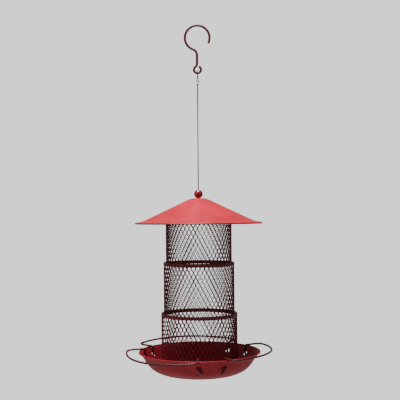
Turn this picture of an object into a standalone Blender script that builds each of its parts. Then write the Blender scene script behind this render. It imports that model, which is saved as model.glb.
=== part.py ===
"""A collapsible seed feeder for garden birds that hangs from a wire hook.

A steel cable hangs from the hook and carries a crossbar inside the top of the upper mesh tier.
Each lower tier hangs from the one above by a lip that rests on a flange, and slides up over it.
The roof and the ball above it slide up the cable, which opens the tiers for filling.
The lowest tier stands in a round tray, and three wire perches are hooked over the tray's rim.

Metres, +Z up. The origin is the hang point: the inside of the hook's top, straight above the tray.
"""

import math
from collections import namedtuple

import bmesh
import bpy
from mathutils import Matrix, Vector

# Clearances and sheet
GAP = 0.0003
SLIDE_GAP = 0.0006
WELD = 0.000001
SHEET = 0.0008
RING_SHEET = 0.0005
LIP = 0.0010
MESH_SHEET = 0.0009

# Sides of the turned pieces
TIER_SIDES = 48
WIDE_SIDES = 64
SMALL_SIDES = 20

# Hanging hook, one wire in the XZ plane
HOOK_WIRE = 0.0043
CROOK_RADIUS = 0.0212
CROOK_TIP_ANGLE = -27.0
CROOK_NECK_RADIUS = 0.0109
SHANK_X = -0.0006
EYE_RADIUS = 0.0060
EYE_CENTRE_Z = -0.0739
EYE_NECK_RADIUS = 0.0070
EYE_END_ANGLE = 400.0
EYE_TAIL = 0.0025
PIVOT_Z = EYE_CENTRE_Z - EYE_RADIUS

# Cable, its crimped ferrules and its washer
CABLE = 0.0020
CABLE_BORE = CABLE / 2 + GAP
STRAND_STEP = CABLE + GAP
LOOP_FERRULE_TOP = -0.0882
LOOP_FERRULE_LENGTH = 0.0111
LOOP_FERRULE_RADIUS = 0.00215
STOP_RADIUS = 0.0026
STOP_LENGTH = 0.0080
WASHER_RADIUS = 0.0060
WASHER_THICK = 0.0010

# Roof and the ball on it
BALL_RADIUS = 0.00775
BALL_CENTRE_Z = -0.2876
ROOF_TOP = -0.29485
ROOF_HOLE_RADIUS = 0.0035
ROOF_CROWN_RADIUS = 0.0130
ROOF_SHOULDER = (0.0946, -0.3339)
ROOF_RIM = (0.1100, -0.3381)
HEM_WIDTH = 0.0050

# Mesh tiers: outer radius of each tier and the top of its upper ring
Tier = namedtuple("Tier", "name radius top band")
UPPER = Tier("upper", 0.0570, -0.3173, 0.0050)
MIDDLE = Tier("middle", 0.0611, -0.4046, 0.0043)
LOWER = Tier("lower", 0.0656, -0.4915, 0.0051)
FLANGE_BAND = 0.0050
RING_SHOULDER = 0.0007
UPPER_LIP_RADIUS = 0.0530
LOWER_FOOT_Z = -0.5924
LOWER_FOOT_INNER = 0.0600

# Crossbar in the top of the upper tier
CROSSBAR_WIDTH = 0.0120
CROSSBAR_THICK = 0.0016
CROSSBAR_TAB = 0.0090

# Tray: rolled rim, and a wall that is one cubic curve from the rim to the flat base
TRAY_RADIUS = 0.1047
TRAY_TOP = -0.5572
RIM_BEAD = 0.0012
TRAY_WALL = ((0.1036, -0.5580), (0.0903, -0.5704), (0.0909, -0.5916), (0.0530, -0.5961))
TRAY_WALL_STEPS = 9

# Perches: hooked over the rim, with their ends down through holes in the wall
PERCH_WIRE = 0.0034
PERCH_RADIUS = 0.12375
PERCH_CORNER = 0.0100
PERCH_HALF_SPAN = 47.3
PERCH_LEG_RADIUS = 0.0936
PERCH_AXIS_Z = -0.5705
PERCH_TAIL_SIDE = 0.0060
PERCH_TAIL_DROP = 0.0095
PERCH_ELBOW_BEND = 0.0022
PERCH_SHOULDER_BEND = 0.0030
PERCH_HOLE_DEPTH = 0.0120

# Each hole is as wide as its wire needs, which slants through the wall more when the perch droops
Perch = namedtuple("Perch", "name azimuth tilt hole")
PERCHES = (
    Perch("perch_back", 104.5, 5.5, 0.0038),
    Perch("perch_right", -17.5, 1.0, 0.0041),
    Perch("perch_front_left", -138.0, -7.0, 0.0048),
)

# The cable's route in the YZ plane, from its lower end up to the loop and down to its tail
CABLE_ROUTE = (
    (0.0, -0.3355), (0.0, -0.3200), (0.0, -0.2950), (0.0, -0.2650), (0.0, -0.2350),
    (0.0, -0.2050), (0.0, -0.1750), (0.0, -0.1450), (0.0, -0.1150), (0.0, -0.1000),
    (0.0, -0.0930), (0.0, -0.0882), (-0.00055, -0.0861), (-0.0023, -0.0846),
    (-0.0040, -0.0831), (-0.0046, -0.0809), (-0.0043, -0.0791), (-0.0033, -0.0776),
    (-0.00175, -0.0767), (0.0, -0.0764), (0.00175, -0.0767), (0.0033, -0.0776),
    (0.0043, -0.0791), (0.0046, -0.0809), (0.0043, -0.0829), (0.0034, -0.0847),
    (0.0025, -0.0865), (0.0023, -0.0883), (0.0023, -0.0930), (0.0023, -0.0975),
    (0.0023, -0.1010),
)


def clear_scene():
    for obj in list(bpy.data.objects):
        bpy.data.objects.remove(obj, do_unlink=True)


def new_collection(name, hidden=False):
    collection = bpy.data.collections.new(name)
    collection.hide_render = hidden
    bpy.context.scene.collection.children.link(collection)
    return collection


def finish_material(name, colour, roughness, metallic):
    material = bpy.data.materials.new(name)
    material.use_nodes = True
    shader = material.node_tree.nodes["Principled BSDF"]
    shader.inputs["Base Color"].default_value = (*colour, 1.0)
    shader.inputs["Roughness"].default_value = roughness
    shader.inputs["Metallic"].default_value = metallic
    return material


def world_place(obj):
    place = Vector((0.0, 0.0, 0.0))
    while obj:
        place += obj.location
        obj = obj.parent
    return place


def put(obj, parent, place):
    """Parents obj to an unturned pivot, with its own origin at a place in the world."""
    obj.parent = parent
    obj.location = Vector(place) - world_place(parent)
    return obj


def pivot(name, z, parent=None):
    empty = bpy.data.objects.new(name, None)
    empty.empty_display_size = 0.02
    feeder.objects.link(empty)
    return put(empty, parent, (0.0, 0.0, z))


def add_piece(name, data, material, parent, place=(0.0, 0.0, 0.0)):
    obj = bpy.data.objects.new(name, data)
    feeder.objects.link(obj)
    data.materials.append(material)
    return put(obj, parent, place)


def polar(radius, degrees):
    angle = math.radians(degrees)
    return Vector((radius * math.cos(angle), radius * math.sin(angle)))


def arc(centre, radius, start, end, step):
    """Points of a flat arc about centre, from start to end degrees."""
    count = max(1, round(abs(end - start) / step))
    turn = (end - start) / count
    return [Vector(centre) + polar(radius, start + turn * i) for i in range(count + 1)]


def corner(before, at, after, radius, steps):
    """The points of a round corner of a path in space, without the corner itself."""
    a = (Vector(before) - Vector(at)).normalized()
    b = (Vector(after) - Vector(at)).normalized()
    opening = a.angle(b)
    reach = radius / math.tan(opening / 2)
    centre = Vector(at) + (a + b).normalized() * radius / math.sin(opening / 2)
    start = Vector(at) + a * reach - centre
    axis = start.cross(Vector(at) + b * reach - centre)
    turn = math.pi - opening
    return [centre + Matrix.Rotation(turn * i / steps, 3, axis) @ start for i in range(steps + 1)]


def offset(path, distance):
    """The flat path moved to its right-hand side by distance, with mitred corners."""
    moved = []
    for i, point in enumerate(path):
        sides = []
        for a, b in ((i - 1, i), (i, i + 1)):
            if 0 <= a and b < len(path):
                run = (Vector(path[b]) - Vector(path[a])).normalized()
                sides.append(Vector((run.y, -run.x)))
        mitre = (sides[0] + sides[-1]).normalized()
        moved.append(Vector(point) + mitre * distance / mitre.dot(sides[0]))
    return moved


def smooth_through(route, pieces):
    """A smooth curve through the route's points, each stretch cut into some pieces."""
    points = [Vector(p) for p in route]
    ends = [2 * points[0] - points[1], *points, 2 * points[-1] - points[-2]]
    curve = []
    for a, b, c, d in zip(ends, ends[1:], ends[2:], ends[3:]):
        for i in range(pieces):
            t = i / pieces
            curve.append(
                b + 0.5 * t * (c - a)
                + t * t * (a - 2.5 * b + 2 * c - 0.5 * d)
                + t * t * t * (1.5 * b - 0.5 * a - 1.5 * c + 0.5 * d)
            )
    return [*curve, points[-1]]


def turned(name, outline, sides, material, parent, z=0.0, closed=True):
    """A solid turned about Z: its outline (radius, height above z) runs down its outer side."""
    shape = bmesh.new()
    verts = [shape.verts.new((radius, 0.0, height)) for radius, height in outline]
    for a, b in zip(verts, verts[1:]):
        shape.edges.new((a, b))
    if closed:
        shape.edges.new((verts[-1], verts[0]))
    mesh = bpy.data.meshes.new(name)
    shape.to_mesh(mesh)
    shape.free()
    obj = add_piece(name, mesh, material, parent, (0.0, 0.0, z))
    turn = obj.modifiers.new("Turn", "SCREW")
    turn.angle = 2 * math.pi
    turn.steps = turn.render_steps = sides
    turn.use_merge_vertices = True
    turn.merge_threshold = 0.00001
    return obj


def wire(name, points, diameter, resolution, material, parent, place=(0.0, 0.0, 0.0)):
    curve = bpy.data.curves.new(name, "CURVE")
    curve.dimensions = "3D"
    curve.bevel_depth = diameter / 2
    curve.bevel_resolution = resolution
    curve.use_fill_caps = True
    spline = curve.splines.new("POLY")
    spline.points.add(len(points) - 1)
    for point, place_on_it in zip(spline.points, points):
        point.co = (*place_on_it, 1.0)
    return add_piece(name, curve, material, parent, place)


def plate(name, outlines, thickness, material, parent, place, upright=False):
    """A flat plate cut to closed outlines, lying flat, or standing in the XZ plane."""
    curve = bpy.data.curves.new(name, "CURVE")
    curve.dimensions = "2D"
    curve.fill_mode = "BOTH"
    curve.extrude = thickness / 2
    for outline in outlines:
        spline = curve.splines.new("POLY")
        spline.points.add(len(outline) - 1)
        spline.use_cyclic_u = True
        for point, place_on_it in zip(spline.points, outline):
            point.co = (*place_on_it, 0.0, 1.0)
    flat = bpy.data.objects.new(name + "_outline", curve)
    bpy.context.scene.collection.objects.link(flat)
    mesh = bpy.data.meshes.new_from_object(flat.evaluated_get(bpy.context.evaluated_depsgraph_get()))
    bpy.data.objects.remove(flat, do_unlink=True)
    if upright:
        mesh.transform(Matrix.Rotation(math.pi / 2, 4, "X"))
    shape = bmesh.new()
    shape.from_mesh(mesh)
    bmesh.ops.remove_doubles(shape, verts=shape.verts, dist=WELD)
    shape.to_mesh(mesh)
    shape.free()
    mesh.name = name
    return add_piece(name, mesh, material, parent, place)


def drill(obj, centre, direction, radius, length):
    """Cuts a round hole through obj with a hidden cylinder."""
    shape = bmesh.new()
    bmesh.ops.create_cone(
        shape, cap_ends=True, segments=SMALL_SIDES, radius1=radius, radius2=radius, depth=length
    )
    turn = Vector(direction).to_track_quat("Z", "Y").to_matrix().to_4x4()
    shape.transform(Matrix.Translation(centre) @ turn)
    mesh = bpy.data.meshes.new(obj.name + "_hole")
    shape.to_mesh(mesh)
    shape.free()
    cutter = bpy.data.objects.new(mesh.name, mesh)
    cutters.objects.link(cutter)
    cutter.hide_render = True
    cutter.display_type = "WIRE"
    cut = obj.modifiers.new("Hole", "BOOLEAN")
    cut.operation = "DIFFERENCE"
    cut.solver = "EXACT"
    cut.object = cutter


def hook():
    """The crook, the neck back to the shank, the shank, and the eye bent at its foot."""
    crook_centre = (0.0, HOOK_WIRE / 2 - CROOK_RADIUS)
    reach = CROOK_RADIUS + CROOK_NECK_RADIUS
    leave = 360.0 - math.degrees(math.acos((SHANK_X - CROOK_NECK_RADIUS) / reach))
    neck_centre = Vector(crook_centre) + polar(reach, leave)
    path = arc(crook_centre, CROOK_RADIUS, CROOK_TIP_ANGLE, leave, 9)
    path += arc(neck_centre, CROOK_NECK_RADIUS, leave - 180.0, 0.0, 12)[1:]

    eye_centre = (0.0, EYE_CENTRE_Z)
    reach = EYE_RADIUS + EYE_NECK_RADIUS
    join = math.degrees(math.acos((SHANK_X - EYE_NECK_RADIUS) / reach))
    neck_centre = Vector(eye_centre) + polar(reach, join)
    path += arc(neck_centre, EYE_NECK_RADIUS, 0.0, join - 180.0, 14)
    path += arc(eye_centre, EYE_RADIUS, join, EYE_END_ANGLE, 15)[1:]
    path.append(path[-1] + polar(EYE_TAIL, EYE_END_ANGLE + 90.0))
    points = [(x, 0.0, z) for x, z in path]
    wire("hanging_hook", points, HOOK_WIRE, 3, red_paint, None)


def loop_ferrule(parent):
    """A crimped sleeve round the cable's two strands."""
    outlines = []
    for radius in (LOOP_FERRULE_RADIUS, CABLE_BORE):
        outlines.append(
            arc((0.0, STRAND_STEP), radius, 0.0, 180.0, 22.5) + arc((0.0, 0.0), radius, 180.0, 360.0, 22.5)
        )
    middle = LOOP_FERRULE_TOP - LOOP_FERRULE_LENGTH / 2
    plate("loop_ferrule", outlines, LOOP_FERRULE_LENGTH, ferrule_metal, parent, (0.0, 0.0, middle))


def tube_outline(inner, outer, top, bottom):
    return [(inner, top), (outer, top), (outer, bottom), (inner, bottom)]


def roof_underside(radius):
    """Height of the roof cone's inner surface at a radius."""
    slope = (ROOF_SHOULDER[1] - ROOF_TOP) / (ROOF_SHOULDER[0] - ROOF_CROWN_RADIUS)
    outside = ROOF_TOP + (radius - ROOF_CROWN_RADIUS) * slope
    return outside - SHEET * math.hypot(1.0, slope)


def roof(parent):
    """A crown with a hole that the ball sinks into, a cone, a flatter brim and a folded hem."""
    top = [(ROOF_HOLE_RADIUS, ROOF_TOP), (ROOF_CROWN_RADIUS, ROOF_TOP), ROOF_SHOULDER, ROOF_RIM]
    under = offset(top, SHEET)
    folded = offset(top, 2 * SHEET)
    brim = (Vector(ROOF_RIM) - Vector(ROOF_SHOULDER)).normalized()
    lip = [
        Vector(ROOF_RIM) - brim * SHEET,
        (Vector(ROOF_RIM) + under[-1]) / 2,
        folded[-1] - brim * SHEET,
        folded[-1] - brim * HEM_WIDTH,
        under[-1] - brim * HEM_WIDTH,
    ]
    outline = [*top[:-1], *lip, *reversed(under[:-1])]
    outline = [(radius, z - ROOF_TOP) for radius, z in outline]
    turned("roof", outline, WIDE_SIDES, red_paint, parent, ROOF_TOP)


def ball(parent):
    bore_angle = math.degrees(math.asin(CABLE_BORE / BALL_RADIUS))
    outline = arc((0.0, 0.0), BALL_RADIUS, 90.0 - bore_angle, bore_angle - 90.0, 17)
    turned("stop_ball", outline, SMALL_SIDES, ball_lacquer, parent, BALL_CENTRE_Z)


def sleeve(tier):
    """Outer and inner radius of a tier's mesh."""
    outer = tier.radius - RING_SHEET - GAP
    return outer, outer - MESH_SHEET


def top_ring(tier, inner, parent):
    """A lip over the mesh's edge and a skirt outside it, with a rounded shoulder between."""
    mesh_outer, _ = sleeve(tier)
    outline = [
        (inner, 0.0),
        (tier.radius - RING_SHOULDER, 0.0),
        (tier.radius, -RING_SHOULDER),
        (tier.radius, -tier.band),
        (mesh_outer + GAP, -tier.band),
        (mesh_outer + GAP, -LIP),
        (inner, -LIP),
    ]
    turned(tier.name + "_top_ring", outline, TIER_SIDES, red_paint, parent, tier.top)


def bottom_ring(tier, flange_outer, z, parent):
    """A flange that the next tier's lip rests on, and a skirt outside the mesh."""
    mesh_outer, _ = sleeve(tier)
    outline = [
        (mesh_outer + GAP, 0.0),
        (flange_outer, 0.0),
        (flange_outer, -LIP),
        (tier.radius, -LIP),
        (tier.radius, -FLANGE_BAND),
        (mesh_outer + GAP, -FLANGE_BAND),
    ]
    turned(tier.name + "_bottom_ring", outline, TIER_SIDES, red_paint, parent, z)


def mesh_sleeve(tier, bottom, parent):
    outer, inner = sleeve(tier)
    top = -LIP - GAP
    outline = tube_outline(inner, outer, top, bottom - tier.top)
    turned(tier.name + "_mesh", outline, TIER_SIDES, red_paint, parent, tier.top)


def tier_above(tier, below, parent):
    """The mesh of a tier with a tier below it, and the flange that carries that one."""
    flange_top = below.top - LIP - GAP
    _, below_inner = sleeve(below)
    mesh_sleeve(tier, flange_top - FLANGE_BAND, parent)
    bottom_ring(tier, below_inner - RING_SHEET, flange_top, parent)


def lowest_tier(tier, parent):
    """The lowest mesh stands on an inward foot in the tray."""
    outer, _ = sleeve(tier)
    mesh_sleeve(tier, LOWER_FOOT_Z + LIP + GAP, parent)
    outline = [
        (outer + GAP, tier.band),
        (tier.radius, tier.band),
        (tier.radius, 0.0),
        (LOWER_FOOT_INNER, 0.0),
        (LOWER_FOOT_INNER, LIP),
        (outer + GAP, LIP),
    ]
    turned(tier.name + "_bottom_ring", outline, TIER_SIDES, red_paint, parent, LOWER_FOOT_Z)


def crossbar(parent):
    """A strap under the top ring's lip, with its ends bent down inside the mesh."""
    _, inner = sleeve(UPPER)
    end = math.sqrt((inner - 2 * GAP) ** 2 - (CROSSBAR_WIDTH / 2) ** 2)
    path = [(-end, -CROSSBAR_TAB), (-end, 0.0), (end, 0.0), (end, -CROSSBAR_TAB)]
    outline = path + [tuple(p) for p in reversed(offset(path, CROSSBAR_THICK))]
    top = UPPER.top - LIP - GAP
    strap = plate(
        "crossbar", [outline], CROSSBAR_WIDTH, red_paint, parent, (0.0, 0.0, top), upright=True
    )
    drill(strap, (0.0, 0.0, top - CROSSBAR_THICK / 2), (0, 0, 1), CABLE_BORE, 4 * CROSSBAR_THICK)
    washer_top = top - CROSSBAR_THICK - GAP
    stop_top = washer_top - WASHER_THICK - GAP
    washer = tube_outline(CABLE_BORE, WASHER_RADIUS, 0.0, -WASHER_THICK)
    turned("crossbar_washer", washer, SMALL_SIDES, ferrule_metal, parent, washer_top)
    stop = tube_outline(CABLE_BORE, STOP_RADIUS, 0.0, -STOP_LENGTH)
    turned("cable_stop", stop, SMALL_SIDES, ferrule_metal, parent, stop_top)


def tray_wall():
    """The wall's outer curve, from under the rim bead down to the flat base."""
    a, b, c, d = (Vector(p) for p in TRAY_WALL)
    points = []
    for i in range(1, TRAY_WALL_STEPS + 1):
        t = i / TRAY_WALL_STEPS
        s = 1.0 - t
        points.append(s**3 * a + 3 * s * s * t * b + 3 * s * t * t * c + t**3 * d)
    return points


def tray(parent):
    outer = [*tray_wall(), Vector((0.0, TRAY_WALL[-1][1]))]
    inner = offset(outer, SHEET)
    inner[-1].x = 0.0
    bead_centre = (TRAY_RADIUS - RIM_BEAD, TRAY_TOP - RIM_BEAD)
    bead = arc(bead_centre, RIM_BEAD, 180.0, -90.0, 45)
    outline = [(r, z - TRAY_TOP) for r, z in [*reversed(inner), *bead, *outer]]
    obj = turned("tray", outline, WIDE_SIDES, red_paint, parent, TRAY_TOP, closed=False)

    hole = min(outer, key=lambda p: abs(p.x - PERCH_LEG_RADIUS))
    after = outer[outer.index(hole) + 1]
    slope = math.degrees(math.atan2(hole.x - after.x, hole.y - after.y))
    for each in PERCHES:
        for side in (-1, 1):
            azimuth = each.azimuth + side * PERCH_HALF_SPAN
            centre = polar(PERCH_LEG_RADIUS, azimuth)
            across = polar(math.cos(math.radians(slope)), azimuth)
            direction = (across.x, across.y, -math.sin(math.radians(slope)))
            drill(obj, (centre.x, centre.y, PERCH_AXIS_Z), direction, each.hole, PERCH_HOLE_DEPTH)


def perch(place, parent):
    """A wire loop with its origin on the line through its two holes, X outwards."""
    chord = PERCH_LEG_RADIUS * math.cos(math.radians(PERCH_HALF_SPAN))
    rim_reach = TRAY_RADIUS * math.cos(math.radians(PERCH_HALF_SPAN)) - chord
    tilt = math.radians(place.tilt)
    rest = TRAY_TOP + PERCH_WIRE / 2 + GAP - PERCH_AXIS_Z
    height = (rest - rim_reach * math.sin(tilt)) / math.cos(tilt)

    leg = polar(PERCH_LEG_RADIUS, PERCH_HALF_SPAN)
    tail = leg + polar(PERCH_TAIL_SIDE, PERCH_HALF_SPAN + 90.0)
    run_end = polar(TRAY_RADIUS, PERCH_HALF_SPAN)
    tip = Vector((*tail, -PERCH_TAIL_DROP))
    elbow = Vector((*leg, -PERCH_TAIL_DROP / 2))
    shoulder = Vector((*leg, height))
    run = Vector((*run_end, height))
    half = [tip, *corner(tip, elbow, shoulder, PERCH_ELBOW_BEND, 3)]
    half += corner(elbow, shoulder, run, PERCH_SHOULDER_BEND, 4)

    fillet_reach = PERCH_RADIUS - PERCH_CORNER
    swing = PERCH_HALF_SPAN - math.degrees(math.asin(PERCH_CORNER / fillet_reach))
    fillet = arc(polar(fillet_reach, swing), PERCH_CORNER, PERCH_HALF_SPAN + 90.0, swing, 14)
    front = arc((0.0, 0.0), PERCH_RADIUS, swing, -swing, 6)
    half += [Vector((*p, height)) for p in fillet]
    other = [Vector((p.x, -p.y, p.z)) for p in reversed(half)]
    loop = [*half, *(Vector((*p, height)) for p in front[1:-1]), *other]
    points = [(p.x - chord, p.y, p.z) for p in loop]

    middle = polar(chord, place.azimuth)
    obj = wire(place.name, points, PERCH_WIRE, 2, red_paint, parent, (*middle, PERCH_AXIS_Z))
    obj.rotation_euler = (0.0, -tilt, math.radians(place.azimuth))


clear_scene()
feeder = new_collection("bird_feeder")
cutters = new_collection("cutters", hidden=True)
red_paint = finish_material("red_paint", (0.30, 0.02, 0.03), 0.35, 0.0)
ball_lacquer = finish_material("ball_lacquer", (0.28, 0.005, 0.025), 0.15, 0.0)
cable_steel = finish_material("cable_steel", (0.35, 0.35, 0.36), 0.40, 1.0)
ferrule_metal = finish_material("ferrule_metal", (0.80, 0.80, 0.82), 0.35, 1.0)

hook()
hanger = pivot("hanger_pivot", PIVOT_Z)
cable_points = [(0.0, y, z - PIVOT_Z) for y, z in smooth_through(CABLE_ROUTE, 2)]
wire("hanger_cable", cable_points, CABLE, 2, cable_steel, hanger, (0.0, 0.0, PIVOT_Z))
loop_ferrule(hanger)
top_ring(UPPER, UPPER_LIP_RADIUS, hanger)
tier_above(UPPER, MIDDLE, hanger)
crossbar(hanger)

roof_slide = pivot("roof_slide", ROOF_TOP, hanger)
roof(roof_slide)
ball(pivot("ball_slide", BALL_CENTRE_Z, roof_slide))

middle_slide = pivot("middle_slide", MIDDLE.top, hanger)
top_ring(MIDDLE, sleeve(UPPER)[0] + SLIDE_GAP, middle_slide)
tier_above(MIDDLE, LOWER, middle_slide)

lower_slide = pivot("lower_slide", LOWER.top, middle_slide)
top_ring(LOWER, sleeve(MIDDLE)[0] + SLIDE_GAP, lower_slide)
lowest_tier(LOWER, lower_slide)
tray(lower_slide)
for each in PERCHES:
    perch(each, lower_slide)
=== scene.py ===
"""Looks of a collapsible hanging seed feeder: red powder-coated steel, expanded mesh, wire rope."""

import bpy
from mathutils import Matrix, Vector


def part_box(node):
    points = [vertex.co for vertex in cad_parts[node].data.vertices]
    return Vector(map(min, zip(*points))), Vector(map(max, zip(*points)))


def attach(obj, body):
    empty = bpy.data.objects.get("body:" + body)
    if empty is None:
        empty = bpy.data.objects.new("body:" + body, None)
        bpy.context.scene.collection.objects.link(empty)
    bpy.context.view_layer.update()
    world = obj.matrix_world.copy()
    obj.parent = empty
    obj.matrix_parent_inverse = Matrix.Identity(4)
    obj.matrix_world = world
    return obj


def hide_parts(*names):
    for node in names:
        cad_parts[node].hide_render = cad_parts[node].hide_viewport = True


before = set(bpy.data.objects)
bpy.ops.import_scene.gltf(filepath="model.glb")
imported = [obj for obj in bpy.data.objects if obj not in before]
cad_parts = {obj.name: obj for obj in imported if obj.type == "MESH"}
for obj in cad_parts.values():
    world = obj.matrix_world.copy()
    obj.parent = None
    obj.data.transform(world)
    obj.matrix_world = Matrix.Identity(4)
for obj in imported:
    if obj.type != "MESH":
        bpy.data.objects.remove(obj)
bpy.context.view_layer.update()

import math
from collections import namedtuple

import bmesh
import bpy
from mathutils import Matrix, Vector

# Camera: level, at the height of the roof's cone, far back behind a long lens
CAMERA_DISTANCE = 1.376
EYE_LEVEL = -0.3239
CAMERA_SIDE = 0.0025
CAMERA_ROLL = -0.45
CAMERA_SHIFT = 0.0375
LENS = 72.0
SENSOR = 36.0

# Studio
FLOOR = -1.60
FLOOR_RADIUS = 30.0
FLOOR_SIDES = 96
FLOOR_DARK = (0.46, 0.46, 0.46)
FLOOR_LIGHT = (0.50, 0.50, 0.50)
FLOOR_TONE_SCALE = 1.5
FLOOR_ROUGHNESS = 0.9
BACKDROP = 1.3
AMBIENT = 0.26
WHITE = (1.0, 1.0, 1.0, 1.0)
Light = namedtuple("Light", "name place aim size power")
LIGHTS = (
    Light("top", (-0.12, -0.20, 1.00), (0, 0, -0.35), (0.6, 0.6), 74.0),
    Light("low", (0.0, -0.8, -1.40), (0, 0, -0.5), (1.2, 0.6), 2.2),
    Light("side", (-1.3, -0.6, -0.1), (0, 0, -0.4), (0.7, 1.2), 1.6),
)

# Smoothness of new pieces, and the angles past which an edge stays sharp
WIDE_STEPS = 192
SMALL_STEPS = 48
WIRE_ROUND = 5
HOOK_ROUND = 8
SHARP = 35.0
SOFT_SHARP = 50.0

# Points closer than these are merged: on any piece, between mesh cells, and at a rolled seam
WELD = 0.000002
CELL_WELD = 0.00002
SEAM_WELD = 0.00003
CUT_REACH = 0.0000001

# Paint: slow drifts in tone and gloss, and the scale, depth and strength of its relief
TONE_RANGE = (0.35, 0.65)
GLOSS_RANGE = (0.3, 0.7)
PAINT_TONE_SCALE = 28.0
PAINT_GLOSS_SCALE = 60.0
PEEL_SCALE = 420.0
PEEL_DEPTH = 0.00012
PEEL_STRENGTH = 0.35
GRAIN_SCALE = 2600.0
GRAIN_DEPTH = 0.00003
GRAIN_STRENGTH = 0.30
COAT_ROUGHNESS = 0.12

# Bare metal: its gloss varies in smaller patches than its tone
GLOSS_TO_TONE = 2.3
SCRATCH_SCALE = 3000.0
SCRATCH_DEPTH = 0.00004
SCRATCH_STRENGTH = 0.4

# Cable: a rope of round strands, which leave valleys between them
CABLE = 0.0020
ROUTE_PIECES = 8
STRANDS = 6
STRAND_SIDES = 6
ROPE_VALLEY = 0.86
ROPE_CREST = 0.14
ROPE_LAY = 0.0130
ROPE_STEP = 0.0008

# Sleeve: crimp marks are placed and sized as parts of its height, and pinch it by a part
SLEEVE_ROUND = 0.46
SLEEVE_ROUND_STEPS = 8
SLEEVE_RIM = 0.0004
SLEEVE_RIM_STEPS = 3
SLEEVE_CUTS = 30
CRIMP_MARKS = (-0.22, 0.22)
CRIMP_REACH = 0.12
CRIMP_PINCH = 0.16

# Hook
HOOK_WIRE = 0.0043
CROOK_RADIUS = 0.0212
CROOK_TIP_ANGLE = -27.0
CROOK_NECK_RADIUS = 0.0109
SHANK_X = -0.0006
EYE_RADIUS = 0.0060
EYE_CENTRE_Z = -0.0739
EYE_NECK_RADIUS = 0.0070
EYE_END_ANGLE = 400.0
EYE_TAIL = 0.0025
CROOK_STEP = 3.0
CROOK_NECK_STEP = 5.0
EYE_NECK_STEP = 6.0
EYE_STEP = 7.5

# Ball: its bore opens out a little at both ends
GAP = 0.0003
BORE_FLARE = 1.4
BORE_FLARE_DEPTH = 0.0005
BALL_STEP = 5.0

# Expanded mesh: one cell is a hexagon with short upright sides
MESH_RAISED = 0.0005
MESH_DEPTH = 0.0009
CELL_WIDTH = 0.00755
CELL_PITCH = 0.0143
BOND = 0.0009
STRAND = 0.00102
BOND_WIDTH = 0.0013

# Roof: its hem's inner edge stands this many sheet thicknesses below the top of the brim
SHEET = 0.0008
ROOF_HOLE_RADIUS = 0.0035
ROOF_CROWN_RADIUS = 0.0125
ROOF_SHOULDER = (0.0946, -0.3336)
ROOF_RADIUS = 0.1100
ROOF_BEND = 0.030
ROOF_BEND_STEPS = 6
HEM_RADIUS = 0.00135
HEM_WIDTH = 0.0050
HEM_CLEARANCE = 0.00015
HEM_STEP = 20.0
HEM_EDGE_SHEETS = 1.2
# Roof faces whose normal points up less than this take the darker red, as painted shade
FACES_UP = 0.6

# Tray: a wall of one cubic curve, from inside the rolled rim down to the flat base
TRAY_WALL = ((0.1036, -0.5580), (0.0903, -0.5704), (0.0909, -0.5916), (0.0530, -0.5961))
TRAY_WALL_STEPS = 28
TRAY_WALL_START = 2
BEAD_RADIUS = 0.0012
BEAD_START = 190.0
BEAD_END = -110.0
BEAD_STEP = 15.0

# Perches: hooked over the rim, with their ends down through holes in the wall
PERCH_WIRE = 0.0034
PERCH_RADIUS = 0.12375
PERCH_CORNER = 0.0100
PERCH_HALF_SPAN = 47.3
PERCH_LEG_RADIUS = 0.0936
PERCH_AXIS_Z = -0.5705
PERCH_TAIL_SIDE = 0.0060
PERCH_TAIL_DROP = 0.0095
PERCH_ELBOW_BEND = 0.0022
PERCH_ELBOW_STEPS = 6
PERCH_SHOULDER_BEND = 0.0030
PERCH_SHOULDER_STEPS = 8
PERCH_RUN = 0.01
PERCH_CORNER_STEP = 6.0
PERCH_FRONT_STEP = 2.5
HOLE_SIDES = 32
HOLE_DEPTH = 0.012
Perch = namedtuple("Perch", "name azimuth tilt hole")
PERCHES = (
    Perch("perch_back", 104.5, 5.5, 0.0038),
    Perch("perch_right", -17.5, 1.0, 0.0041),
    Perch("perch_front_left", -138.0, -7.0, 0.0048),
)

# The cable's route in the YZ plane, from its lower end up to the loop and down to its tail
CABLE_ROUTE = (
    (0.0, -0.3355), (0.0, -0.3200), (0.0, -0.2950), (0.0, -0.2650), (0.0, -0.2350),
    (0.0, -0.2050), (0.0, -0.1750), (0.0, -0.1450), (0.0, -0.1150), (0.0, -0.1000),
    (0.0, -0.0930), (0.0, -0.0882), (-0.00055, -0.0861), (-0.0023, -0.0846),
    (-0.0040, -0.0831), (-0.0046, -0.0809), (-0.0043, -0.0791), (-0.0033, -0.0776),
    (-0.00175, -0.0767), (0.0, -0.0764), (0.00175, -0.0767), (0.0033, -0.0776),
    (0.0043, -0.0791), (0.0046, -0.0809), (0.0043, -0.0829), (0.0034, -0.0847),
    (0.0025, -0.0865), (0.0023, -0.0883), (0.0023, -0.0930), (0.0023, -0.0975),
    (0.0023, -0.1010),
)


# Camera

def make_camera():
    data = bpy.data.cameras.new("camera")
    data.lens = LENS
    data.sensor_width = SENSOR
    data.shift_y = CAMERA_SHIFT
    camera = bpy.data.objects.new("camera", data)
    turn = Matrix.Rotation(math.radians(90.0), 4, "X")
    roll = Matrix.Rotation(math.radians(CAMERA_ROLL), 4, "Z")
    place = Matrix.Translation((CAMERA_SIDE, -CAMERA_DISTANCE, EYE_LEVEL))
    camera.matrix_world = place @ turn @ roll
    bpy.context.scene.collection.objects.link(camera)
    bpy.context.scene.camera = camera


# Paths

def polar(radius, degrees):
    angle = math.radians(degrees)
    return Vector((radius * math.cos(angle), radius * math.sin(angle)))


def heading(vector):
    return math.degrees(math.atan2(vector.y, vector.x))


def arc(centre, radius, start, end, step):
    """Points of a flat arc about centre, from start to end degrees."""
    count = max(1, round(abs(end - start) / step))
    turn = (end - start) / count
    return [Vector(centre) + polar(radius, start + turn * i) for i in range(count + 1)]


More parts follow.
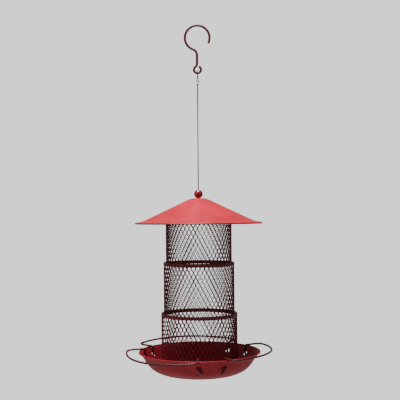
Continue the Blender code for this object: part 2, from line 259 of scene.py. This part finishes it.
def corner(before, at, after, radius, steps):
    """The points of a round corner of a path in space."""
    a = (Vector(before) - Vector(at)).normalized()
    b = (Vector(after) - Vector(at)).normalized()
    opening = a.angle(b)
    reach = radius / math.tan(opening / 2)
    centre = Vector(at) + (a + b).normalized() * radius / math.sin(opening / 2)
    start = Vector(at) + a * reach - centre
    axis = start.cross(Vector(at) + b * reach - centre)
    turn = math.pi - opening
    return [centre + Matrix.Rotation(turn * i / steps, 3, axis) @ start for i in range(steps + 1)]


def flat_corner(before, at, after, radius, steps):
    """The points of a round corner of a flat path."""
    in_space = [Vector((*p, 0.0)) for p in (before, at, after)]
    return [Vector((p.x, p.y)) for p in corner(*in_space, radius, steps)]


def offset(path, distance):
    """The flat path moved to its right-hand side by distance, with mitred corners."""
    moved = []
    for i, point in enumerate(path):
        sides = []
        for a, b in ((i - 1, i), (i, i + 1)):
            if 0 <= a and b < len(path):
                run = (Vector(path[b]) - Vector(path[a])).normalized()
                sides.append(Vector((run.y, -run.x)))
        mitre = (sides[0] + sides[-1]).normalized()
        moved.append(Vector(point) + mitre * distance / mitre.dot(sides[0]))
    return moved


def smooth_through(route, pieces):
    """A smooth curve through the route's points, with each stretch cut into pieces."""
    points = [Vector(p) for p in route]
    ends = [2 * points[0] - points[1], *points, 2 * points[-1] - points[-2]]
    curve = []
    for a, b, c, d in zip(ends, ends[1:], ends[2:], ends[3:]):
        for i in range(pieces):
            t = i / pieces
            curve.append(
                b + 0.5 * t * (c - a)
                + t * t * (a - 2.5 * b + 2 * c - 0.5 * d)
                + t * t * t * (1.5 * b - 0.5 * a - 1.5 * c + 0.5 * d)
            )
    return [*curve, points[-1]]


def evenly(points, step):
    """Points along a path, a step apart, and then its last point."""
    out = [points[0]]
    spare = 0.0
    for a, b in zip(points, points[1:]):
        length = (b - a).length
        along = step - spare
        while along <= length:
            out.append(a.lerp(b, along / length))
            along += step
        spare = (spare + length) % step
    return [*out, points[-1]]


# Making pieces

def add_piece(name, mesh, material, body, node):
    """An object with the mesh, which rides on a body and replaces a CAD node."""
    obj = bpy.data.objects.new(name, mesh)
    bpy.context.scene.collection.objects.link(obj)
    mesh.materials.append(material)
    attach(obj, body)
    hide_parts(node)
    return obj


def to_mesh(name, shape, sharp=SHARP):
    """The bmesh as a mesh, facing outwards and shaded smooth except at sharp edges."""
    bmesh.ops.remove_doubles(shape, verts=shape.verts, dist=WELD)
    bmesh.ops.recalc_face_normals(shape, faces=shape.faces)
    mesh = bpy.data.meshes.new(name)
    shape.to_mesh(mesh)
    shape.free()
    mesh.shade_smooth()
    mesh.set_sharp_from_angle(angle=math.radians(sharp))
    return mesh


def spun(outline, steps, closed=True):
    """A bmesh turned about Z from an outline of (radius, height)."""
    shape = bmesh.new()
    verts = [shape.verts.new((radius, 0.0, height)) for radius, height in outline]
    edges = [shape.edges.new(pair) for pair in zip(verts, verts[1:])]
    if closed:
        edges.append(shape.edges.new((verts[-1], verts[0])))
    bmesh.ops.spin(
        shape, geom=verts + edges, axis=(0, 0, 1), cent=(0, 0, 0),
        angle=2 * math.pi, steps=steps, use_merge=True,
    )
    return shape


def poly_curve(name, points):
    """A curve in space with closed ends, straight from each point to the next."""
    curve = bpy.data.curves.new(name, "CURVE")
    curve.dimensions = "3D"
    curve.twist_mode = "MINIMUM"
    curve.use_fill_caps = True
    spline = curve.splines.new("POLY")
    spline.points.add(len(points) - 1)
    for target, point in zip(spline.points, points):
        target.co = (*point, 1.0)
    return curve


def curve_to_mesh(name, curve):
    obj = bpy.data.objects.new(name, curve)
    bpy.context.scene.collection.objects.link(obj)
    graph = bpy.context.evaluated_depsgraph_get()
    mesh = bpy.data.meshes.new_from_object(obj.evaluated_get(graph))
    bpy.data.objects.remove(obj, do_unlink=True)
    shape = bmesh.new()
    shape.from_mesh(mesh)
    bpy.data.meshes.remove(mesh)
    return to_mesh(name, shape, SOFT_SHARP)


def wire_mesh(name, points, diameter, roundness):
    """A round wire along the points."""
    curve = poly_curve(name, points)
    curve.bevel_depth = diameter / 2
    curve.bevel_resolution = roundness
    return curve_to_mesh(name, curve)


# Materials

def new_material(name):
    """A new material, its node tree, its shader, and the place on the piece that noise reads."""
    material = bpy.data.materials.new(name)
    material.use_nodes = True
    tree = material.node_tree
    place = tree.nodes.new("ShaderNodeTexCoord").outputs["Object"]
    return material, tree, tree.nodes["Principled BSDF"], place


def noise(tree, place, scale, detail=3.0):
    node = tree.nodes.new("ShaderNodeTexNoise")
    node.inputs["Scale"].default_value = scale
    node.inputs["Detail"].default_value = detail
    tree.links.new(place, node.inputs["Vector"])
    return node.outputs["Fac"]


def tone(tree, value, dark, light):
    """A colour that drifts between dark and light with the value."""
    node = tree.nodes.new("ShaderNodeValToRGB")
    for element, position, colour in zip(node.color_ramp.elements, TONE_RANGE, (dark, light)):
        element.position = position
        element.color = (*colour, 1.0)
    tree.links.new(value, node.inputs["Fac"])
    return node.outputs["Color"]


def spread(tree, value, low, high):
    """The value stretched to run from low to high."""
    node = tree.nodes.new("ShaderNodeMapRange")
    node.inputs["From Min"].default_value = GLOSS_RANGE[0]
    node.inputs["From Max"].default_value = GLOSS_RANGE[1]
    node.inputs["To Min"].default_value = low
    node.inputs["To Max"].default_value = high
    tree.links.new(value, node.inputs["Value"])
    return node.outputs["Result"]


def bump(tree, height, depth, strength, after=None):
    node = tree.nodes.new("ShaderNodeBump")
    node.inputs["Strength"].default_value = strength
    node.inputs["Distance"].default_value = depth
    tree.links.new(height, node.inputs["Height"])
    if after:
        tree.links.new(after, node.inputs["Normal"])
    return node.outputs["Normal"]


def seen_or_lit(tree, seen, lit):
    """One shader for what the camera sees, and another for all other rays."""
    by_camera = tree.nodes.new("ShaderNodeLightPath").outputs["Is Camera Ray"]
    mix = tree.nodes.new("ShaderNodeMixShader")
    tree.links.new(by_camera, mix.inputs["Fac"])
    tree.links.new(lit, mix.inputs[1])
    tree.links.new(seen, mix.inputs[2])
    return mix.outputs["Shader"]


def powder_coat(name, dark, light, gloss, coat=0.0, specular=0.5):
    """Powder coat: faint orange peel, and colour and gloss that drift a little."""
    material, tree, shader, place = new_material(name)
    colour = tone(tree, noise(tree, place, PAINT_TONE_SCALE), dark, light)
    roughness = spread(tree, noise(tree, place, PAINT_GLOSS_SCALE), *gloss)
    peel = bump(tree, noise(tree, place, PEEL_SCALE, detail=1.0), PEEL_DEPTH, PEEL_STRENGTH)
    fine = noise(tree, place, GRAIN_SCALE, detail=2.0)
    grain = bump(tree, fine, GRAIN_DEPTH, GRAIN_STRENGTH, after=peel)
    tree.links.new(colour, shader.inputs["Base Color"])
    tree.links.new(roughness, shader.inputs["Roughness"])
    tree.links.new(grain, shader.inputs["Normal"])
    shader.inputs["Metallic"].default_value = 0.0
    shader.inputs["Coat Weight"].default_value = coat
    shader.inputs["Specular IOR Level"].default_value = specular
    shader.inputs["Coat Roughness"].default_value = COAT_ROUGHNESS
    return material


def bare_metal(name, dark, light, gloss, scale, edge=1.0):
    """Bare metal: patchy tone, fine scratches, and reflections at its rim dimmed to edge."""
    material, tree, shader, place = new_material(name)
    colour = tone(tree, noise(tree, place, scale), dark, light)
    roughness = spread(tree, noise(tree, place, scale * GLOSS_TO_TONE), *gloss)
    scratches = bump(tree, noise(tree, place, SCRATCH_SCALE), SCRATCH_DEPTH, SCRATCH_STRENGTH)
    tree.links.new(colour, shader.inputs["Base Color"])
    tree.links.new(roughness, shader.inputs["Roughness"])
    tree.links.new(scratches, shader.inputs["Normal"])
    shader.inputs["Metallic"].default_value = 1.0
    shader.inputs["Specular Tint"].default_value = (edge, edge, edge, 1.0)
    return material


def pale_floor():
    """Pale and matt, but the camera sees it in the backdrop's tone, so that no horizon shows."""
    material, tree, shader, place = new_material("pale_floor")
    grey = tone(tree, noise(tree, place, FLOOR_TONE_SCALE), FLOOR_DARK, FLOOR_LIGHT)
    tree.links.new(grey, shader.inputs["Base Color"])
    shader.inputs["Roughness"].default_value = FLOOR_ROUGHNESS
    glow = tree.nodes.new("ShaderNodeEmission")
    glow.inputs["Strength"].default_value = BACKDROP
    look = seen_or_lit(tree, glow.outputs["Emission"], shader.outputs["BSDF"])
    tree.links.new(look, tree.nodes["Material Output"].inputs["Surface"])
    return material


make_camera()
RED = powder_coat(
    "red_powder_coat", (0.270, 0.002, 0.010), (0.330, 0.003, 0.014), (0.36, 0.48), specular=0.25,
)
# A darker copy of the red paint: painted shade for the mesh, the rings, the crossbar and the roof's
# downward faces
SHADED_RED = powder_coat(
    "painted_shade_red_coat", (0.135, 0.005, 0.012), (0.185, 0.008, 0.018), (0.36, 0.48),
)
# A much darker copy of the red paint: painted shade for the hook and perch wires
SHADED_WIRE_RED = powder_coat(
    "wire_painted_shade_coat", (0.048, 0.003, 0.007), (0.075, 0.004, 0.010), (0.40, 0.52), specular=0.35,
)
LACQUER = powder_coat(
    "ball_lacquer", (0.150, 0.003, 0.012), (0.190, 0.004, 0.017), (0.10, 0.16), coat=0.6,
)
ROPE = bare_metal(
    "rope_steel", (0.015, 0.015, 0.016), (0.040, 0.040, 0.042), (0.45, 0.58), 400.0, edge=0.25,
)
CRIMP = bare_metal(
    "crimp_aluminium", (0.70, 0.70, 0.72), (0.84, 0.84, 0.86), (0.26, 0.42), 220.0,
)


# Cable and its loop

def rope_section():
    """The rope's outline, with a crest at each strand."""
    profile = bpy.data.curves.new("rope_profile", "CURVE")
    profile.dimensions = "2D"
    spline = profile.splines.new("POLY")
    spline.use_cyclic_u = True
    count = STRANDS * STRAND_SIDES
    spline.points.add(count - 1)
    for i, point in enumerate(spline.points):
        lobe = abs(math.sin(math.pi * STRANDS * i / count))
        radius = CABLE / 2 * (ROPE_VALLEY + ROPE_CREST * lobe)
        point.co = (*polar(radius, 360.0 * i / count), 0.0, 1.0)
    section = bpy.data.objects.new("rope_profile", profile)
    bpy.context.scene.collection.objects.link(section)
    return section


def rope():
    """Twisted wire rope: its section turned along the route."""
    centre = smooth_through([(0.0, y, z) for y, z in CABLE_ROUTE], ROUTE_PIECES)
    points = evenly(centre, ROPE_STEP)
    section = rope_section()
    curve = poly_curve("hanger_rope", points)
    curve.bevel_mode = "OBJECT"
    curve.bevel_object = section
    for i, point in enumerate(curve.splines[0].points):
        point.tilt = 2 * math.pi * i * ROPE_STEP / ROPE_LAY
    mesh = curve_to_mesh("hanger_rope", curve)
    bpy.data.objects.remove(section, do_unlink=True)
    obj = add_piece("hanger_rope", mesh, ROPE, "hanger", "hanger_cable")
    length = sum((b - a).length for a, b in zip(points, points[1:]))
    return obj, points, length


def rise(edge):
    return abs(edge.verts[0].co.z - edge.verts[1].co.z)


def loop_sleeve():
    """An aluminium sleeve pressed flat over both strands, with two crimp marks."""
    low, high = (Vector(v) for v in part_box("loop_ferrule"))
    middle = (low + high) / 2
    size = high - low
    shape = bmesh.new()
    bmesh.ops.create_cube(shape, size=1.0)
    bmesh.ops.scale(shape, vec=(size.x, size.y, size.z), verts=shape.verts)
    bmesh.ops.bevel(
        shape, geom=[e for e in shape.edges if rise(e) > size.z / 2], offset=size.x * SLEEVE_ROUND,
        segments=SLEEVE_ROUND_STEPS, profile=0.5, affect="EDGES", material=-1,
    )
    bmesh.ops.bevel(
        shape, geom=[e for e in shape.edges if rise(e) < size.z / 100], offset=SLEEVE_RIM,
        segments=SLEEVE_RIM_STEPS, profile=0.5, affect="EDGES", material=-1,
    )
    uprights = [e for e in shape.edges if rise(e) > size.z / 2]
    bmesh.ops.subdivide_edges(shape, edges=uprights, cuts=SLEEVE_CUTS, use_grid_fill=True)
    for vert in shape.verts:
        for mark in CRIMP_MARKS:
            away = abs(vert.co.z / size.z - mark) / CRIMP_REACH
            if away < 1.0:
                pinch = 1.0 - CRIMP_PINCH * (0.5 + 0.5 * math.cos(math.pi * away))
                vert.co.x *= pinch
                vert.co.y *= pinch
    bmesh.ops.translate(shape, vec=middle, verts=shape.verts)
    mesh = to_mesh("crimped_sleeve", shape)
    return add_piece("crimped_sleeve", mesh, CRIMP, "hanger", "loop_ferrule")


rope_piece, rope_points, rope_length = rope()
sleeve_piece = loop_sleeve()


# Hook

def hook():
    """One wire: the crook, a neck that leads back to the shank, and an eye at the foot."""
    crook_centre = (0.0, HOOK_WIRE / 2 - CROOK_RADIUS)
    reach = CROOK_RADIUS + CROOK_NECK_RADIUS
    leave = 360.0 - math.degrees(math.acos((SHANK_X - CROOK_NECK_RADIUS) / reach))
    neck_centre = Vector(crook_centre) + polar(reach, leave)
    path = arc(crook_centre, CROOK_RADIUS, CROOK_TIP_ANGLE, leave, CROOK_STEP)
    path += arc(neck_centre, CROOK_NECK_RADIUS, leave - 180.0, 0.0, CROOK_NECK_STEP)[1:]

    eye_centre = (0.0, EYE_CENTRE_Z)
    reach = EYE_RADIUS + EYE_NECK_RADIUS
    join = math.degrees(math.acos((SHANK_X - EYE_NECK_RADIUS) / reach))
    neck_centre = Vector(eye_centre) + polar(reach, join)
    path += arc(neck_centre, EYE_NECK_RADIUS, 0.0, join - 180.0, EYE_NECK_STEP)
    path += arc(eye_centre, EYE_RADIUS, join, EYE_END_ANGLE, EYE_STEP)[1:]
    path.append(path[-1] + polar(EYE_TAIL, EYE_END_ANGLE + 90.0))
    mesh = wire_mesh("wire_hook", [(x, 0.0, z) for x, z in path], HOOK_WIRE, HOOK_ROUND)
    add_piece("wire_hook", mesh, SHADED_WIRE_RED, "hook", "hanging_hook")


# Ball

def ball():
    """A ball with a bore for the cable."""
    low, high = (Vector(v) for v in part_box("stop_ball"))
    radius = (high.z - low.z) / 2
    middle = (high.z + low.z) / 2
    bore = CABLE / 2 + GAP
    mouth = BORE_FLARE * math.degrees(math.asin(bore / radius))
    outside = arc((0.0, middle), radius, 90.0 - mouth, mouth - 90.0, BALL_STEP)
    bore_foot = (bore, outside[-1].y + BORE_FLARE_DEPTH)
    bore_top = (bore, outside[0].y - BORE_FLARE_DEPTH)
    mesh = to_mesh("red_ball", spun([bore_foot, bore_top, *outside], SMALL_STEPS))
    add_piece("red_ball", mesh, LACQUER, "ball", "stop_ball")


# Roof

def roof():
    """A crown with a hole, a cone that eases into a flatter brim, and an edge rolled under."""
    low, high = (Vector(v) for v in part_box("roof"))
    start = Vector((ROOF_HOLE_RADIUS, high.z))
    crown = Vector((ROOF_CROWN_RADIUS, high.z))
    shoulder = Vector(ROOF_SHOULDER)
    rim = Vector((ROOF_RADIUS - HEM_RADIUS, low.z + 2 * HEM_RADIUS + HEM_CLEARANCE))
    upper_bend = flat_corner(start, crown, shoulder, ROOF_BEND, ROOF_BEND_STEPS)
    lower_bend = flat_corner(crown, shoulder, rim, ROOF_BEND, ROOF_BEND_STEPS)
    top = [start, *upper_bend, *lower_bend, rim]
    under = offset(top, SHEET)

    brim = (rim - shoulder).normalized()
    down = Vector((brim.y, -brim.x))
    turn = heading(-down)
    hem = arc(rim + down * HEM_RADIUS, HEM_RADIUS, turn, turn - 180.0, HEM_STEP)
    fold_end = hem[-1] - brim * HEM_WIDTH
    fold_in = fold_end - down * (2 * HEM_RADIUS - HEM_EDGE_SHEETS * SHEET)
    outline = [*top[:-1], *hem, fold_end, fold_in, *reversed(under[:-1])]
    mesh = to_mesh("cone_roof", spun(outline, WIDE_STEPS), SOFT_SHARP)
    add_piece("cone_roof", mesh, RED, "roof", "roof")
    # Faces that point down, the rolled hem among them, take the darker copy of the red: painted
    # shade
    mesh.materials.append(SHADED_RED)
    for face in mesh.polygons:
        face.material_index = 1 if face.normal.z < FACES_UP else 0


# Mesh tiers

def mesh_cell():
    """One cell: a hexagon's strands round an opening with short upright sides."""
    half = CELL_WIDTH / 2
    tall = (CELL_PITCH - BOND) / 2
    side = BOND / 2
    slope = math.atan2(tall - side, half)
    in_half = half - BOND_WIDTH / 2
    in_tall = tall - STRAND / 2 / math.cos(slope)
    in_side = in_tall - in_half * math.tan(slope)
    shape = bmesh.new()
    rings = []
    for x, tip, z in ((half, tall, side), (in_half, in_tall, in_side)):
        outline = [(0, tip), (x, z), (x, -z), (0, -tip), (-x, -z), (-x, z)]
        verts = [shape.verts.new((across, 0.0, up)) for across, up in outline]
        rings += [shape.edges.new((a, b)) for a, b in zip(verts, verts[1:] + verts[:1])]
    bmesh.ops.bridge_loops(shape, edges=rings)
    mesh = bpy.data.meshes.new("cell")
    shape.to_mesh(mesh)
    shape.free()
    return mesh


def flat_mesh(around, bottom, top):
    """Cells laid out flat, and trimmed at the bottom, top and sides."""
    rows = math.ceil((top - bottom) / CELL_PITCH * 2) + 2
    cell = mesh_cell()
    shape = bmesh.new()
    for row in range(-1, rows):
        for column in range(around + 1):
            before = len(shape.verts)
            shape.from_mesh(cell)
            shape.verts.ensure_lookup_table()
            across = (column + row % 2 / 2) * CELL_WIDTH
            shift = Vector((across, 0.0, top - row * CELL_PITCH / 2))
            for vert in shape.verts[before:]:
                vert.co += shift
    bpy.data.meshes.remove(cell)
    bmesh.ops.remove_doubles(shape, verts=shape.verts, dist=CELL_WELD)
    left = CELL_WIDTH / 4
    right = left + around * CELL_WIDTH
    for place, facing in (
        ((0, 0, top), (0, 0, 1)), ((0, 0, bottom), (0, 0, -1)),
        ((left, 0, 0), (-1, 0, 0)), ((right, 0, 0), (1, 0, 0)),
    ):
        bmesh.ops.bisect_plane(
            shape, geom=shape.verts[:] + shape.edges[:] + shape.faces[:], dist=CUT_REACH,
            plane_co=place, plane_no=facing, clear_outer=True,
        )
    return shape


def mesh_tier(name, body, node, turn):
    """Flat mesh rolled into a tube, turned by some degrees about Z and given thickness."""
    low, high = (Vector(v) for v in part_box(node))
    radius = (high.x - low.x) / 2 + MESH_RAISED - MESH_DEPTH / 2
    around = round(2 * math.pi * radius / CELL_WIDTH)
    stretch = 2 * math.pi * radius / (around * CELL_WIDTH)
    shape = flat_mesh(around, low.z, high.z)
    for vert in shape.verts:
        angle = vert.co.x * stretch / radius + math.radians(turn)
        vert.co = (radius * math.sin(angle), -radius * math.cos(angle), vert.co.z)
    bmesh.ops.remove_doubles(shape, verts=shape.verts, dist=SEAM_WELD)
    bmesh.ops.recalc_face_normals(shape, faces=shape.faces)
    mesh = bpy.data.meshes.new(name)
    shape.to_mesh(mesh)
    shape.free()
    # The mesh takes the darker copy of the red: painted shade
    obj = add_piece(name, mesh, SHADED_RED, body, node)
    wall = obj.modifiers.new("Sheet", "SOLIDIFY")
    wall.thickness = MESH_DEPTH
    wall.offset = 0.0


# Tray

def tray_wall():
    """The outside of the tray, from its rim down its wall and in to the middle of its base."""
    a, b, c, d = (Vector(p) for p in TRAY_WALL)
    points = []
    for i in range(TRAY_WALL_START, TRAY_WALL_STEPS + 1):
        t = i / TRAY_WALL_STEPS
        s = 1.0 - t
        points.append(s**3 * a + 3 * s * s * t * b + 3 * s * t * t * c + t**3 * d)
    return [*points, Vector((0.0, d.y))]


def hole_cutter(outer):
    """A cylinder for each leg of each perch, square to the wall where the leg goes through."""
    upper = min(outer, key=lambda p: abs(p.x - PERCH_LEG_RADIUS))
    lower = outer[outer.index(upper) + 1]
    slope = math.atan2(upper.x - lower.x, upper.y - lower.y)
    shape = bmesh.new()
    for each in PERCHES:
        for side in (-1, 1):
            at = polar(PERCH_LEG_RADIUS, each.azimuth + side * PERCH_HALF_SPAN)
            across = polar(math.cos(slope), each.azimuth + side * PERCH_HALF_SPAN)
            facing = Vector((across.x, across.y, -math.sin(slope)))
            turn = facing.to_track_quat("Z", "Y").to_matrix().to_4x4()
            bmesh.ops.create_cone(
                shape, cap_ends=True, segments=HOLE_SIDES,
                radius1=each.hole, radius2=each.hole, depth=HOLE_DEPTH,
                matrix=Matrix.Translation((at.x, at.y, PERCH_AXIS_Z)) @ turn,
            )
    mesh = bpy.data.meshes.new("holes")
    shape.to_mesh(mesh)
    shape.free()
    cutter = bpy.data.objects.new("holes", mesh)
    bpy.context.scene.collection.objects.link(cutter)
    return cutter


def tray():
    """A dish with a rolled rim and two holes for each perch."""
    _, high = (Vector(v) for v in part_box("tray"))
    outer = tray_wall()
    inner = offset(outer, SHEET)
    inner[-1].x = 0.0
    bead_centre = (high.x - BEAD_RADIUS, high.z - BEAD_RADIUS)
    bead = arc(bead_centre, BEAD_RADIUS, BEAD_START, BEAD_END, BEAD_STEP)
    shape = spun([*reversed(inner), *bead, *outer], WIDE_STEPS, closed=False)
    obj = add_piece("dish_tray", to_mesh("dish_tray", shape), RED, "lower_tier", "tray")
    cutter = hole_cutter(outer)
    cut = obj.modifiers.new("Holes", "BOOLEAN")
    cut.operation = "DIFFERENCE"
    cut.solver = "EXACT"
    cut.object = cutter
    graph = bpy.context.evaluated_depsgraph_get()
    drilled = bpy.data.meshes.new_from_object(obj.evaluated_get(graph))
    obj.modifiers.clear()
    obj.data = drilled
    bpy.data.objects.remove(cutter, do_unlink=True)
    drilled.shade_smooth()
    drilled.set_sharp_from_angle(angle=math.radians(SHARP))


# Perches

def perch_loop(chord, tilt):
    """The wire's path facing +X from the tilt axis, high enough to rest on the rim once tilted."""
    _, tray_high = (Vector(v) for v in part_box("tray"))
    rim_reach = tray_high.x * math.cos(math.radians(PERCH_HALF_SPAN)) - chord
    rest = tray_high.z + PERCH_WIRE / 2 + GAP - PERCH_AXIS_Z
    height = (rest - rim_reach * math.sin(tilt)) / math.cos(tilt)
    leg = polar(PERCH_LEG_RADIUS, PERCH_HALF_SPAN)
    tail = leg + polar(PERCH_TAIL_SIDE, PERCH_HALF_SPAN + 90.0)
    tip = Vector((*tail, -PERCH_TAIL_DROP))
    elbow = Vector((*leg, -PERCH_TAIL_DROP / 2))
    shoulder = Vector((*leg, height))
    run = Vector((*(leg + polar(PERCH_RUN, PERCH_HALF_SPAN)), height))
    half = [tip, *corner(tip, elbow, shoulder, PERCH_ELBOW_BEND, PERCH_ELBOW_STEPS)]
    half += corner(elbow, shoulder, run, PERCH_SHOULDER_BEND, PERCH_SHOULDER_STEPS)

    reach = PERCH_RADIUS - PERCH_CORNER
    swing = PERCH_HALF_SPAN - math.degrees(math.asin(PERCH_CORNER / reach))
    bend_centre = polar(reach, swing)
    bend = arc(bend_centre, PERCH_CORNER, PERCH_HALF_SPAN + 90.0, swing, PERCH_CORNER_STEP)
    front = arc((0.0, 0.0), PERCH_RADIUS, swing, -swing, PERCH_FRONT_STEP)
    half += [Vector((*p, height)) for p in bend]
    other = [Vector((p.x, -p.y, p.z)) for p in reversed(half)]
    return [*half, *(Vector((*p, height)) for p in front[1:-1]), *other]


def perch(each):
    """The loop tilted about the line through its two holes, and turned to its side of the tray."""
    chord = PERCH_LEG_RADIUS * math.cos(math.radians(PERCH_HALF_SPAN))
    tilt = math.radians(each.tilt)
    place = (
        Matrix.Translation((*polar(chord, each.azimuth), PERCH_AXIS_Z))
        @ Matrix.Rotation(math.radians(each.azimuth), 4, "Z")
        @ Matrix.Rotation(-tilt, 4, "Y")
        @ Matrix.Translation((-chord, 0.0, 0.0))
    )
    path = [place @ p for p in perch_loop(chord, tilt)]
    mesh = wire_mesh(each.name + "_wire", path, PERCH_WIRE, WIRE_ROUND)
    add_piece(each.name + "_wire", mesh, SHADED_WIRE_RED, each.name, each.name)


# CAD nodes that keep their shape and only take a material; the rings and crossbar take the darker
# red, which is painted shade

def set_material(node, material):
    piece = bpy.data.objects[node]
    piece.data.materials.clear()
    piece.data.materials.append(material)


hook()
ball()
roof()
mesh_tier("upper_expanded_mesh", "hanger", "upper_mesh", turn=2.3)
mesh_tier("middle_expanded_mesh", "middle_tier", "middle_mesh", turn=2.2)
mesh_tier("lower_expanded_mesh", "lower_tier", "lower_mesh", turn=1.0)
tray()
for each_perch in PERCHES:
    perch(each_perch)

for tier in ("upper", "middle", "lower"):
    set_material(tier + "_top_ring", SHADED_RED)
    set_material(tier + "_bottom_ring", SHADED_RED)
set_material("crossbar", SHADED_RED)
set_material("crossbar_washer", CRIMP)
set_material("cable_stop", CRIMP)


# Floor, world and lights

def make_floor():
    shape = bmesh.new()
    bmesh.ops.create_circle(shape, cap_ends=True, segments=FLOOR_SIDES, radius=FLOOR_RADIUS)
    bmesh.ops.translate(shape, vec=(0.0, 0.0, FLOOR), verts=shape.verts)
    mesh = bpy.data.meshes.new("floor")
    shape.to_mesh(mesh)
    shape.free()
    floor = bpy.data.objects.new("floor", mesh)
    bpy.context.scene.collection.objects.link(floor)
    mesh.materials.append(pale_floor())


def make_world():
    """A dim white sky that lights the piece, and a brighter one for the camera to see."""
    world = bpy.data.worlds.new("studio")
    bpy.context.scene.world = world
    world.use_nodes = True
    tree = world.node_tree
    sky = tree.nodes["Background"]
    wall = tree.nodes.new("ShaderNodeBackground")
    for node, strength in ((sky, AMBIENT), (wall, BACKDROP)):
        node.inputs["Strength"].default_value = strength
        node.inputs["Color"].default_value = WHITE
    look = seen_or_lit(tree, wall.outputs["Background"], sky.outputs["Background"])
    tree.links.new(look, tree.nodes["World Output"].inputs["Surface"])


def make_light(light):
    data = bpy.data.lights.new(light.name, "AREA")
    data.shape = "RECTANGLE"
    data.size, data.size_y = light.size
    data.energy = light.power
    lamp = bpy.data.objects.new(light.name, data)
    lamp.location = light.place
    aim = Vector(light.aim) - Vector(light.place)
    lamp.rotation_euler = aim.to_track_quat("-Z", "Y").to_euler()
    bpy.context.scene.collection.objects.link(lamp)


make_floor()
make_world()
for each_light in LIGHTS:
    make_light(each_light)
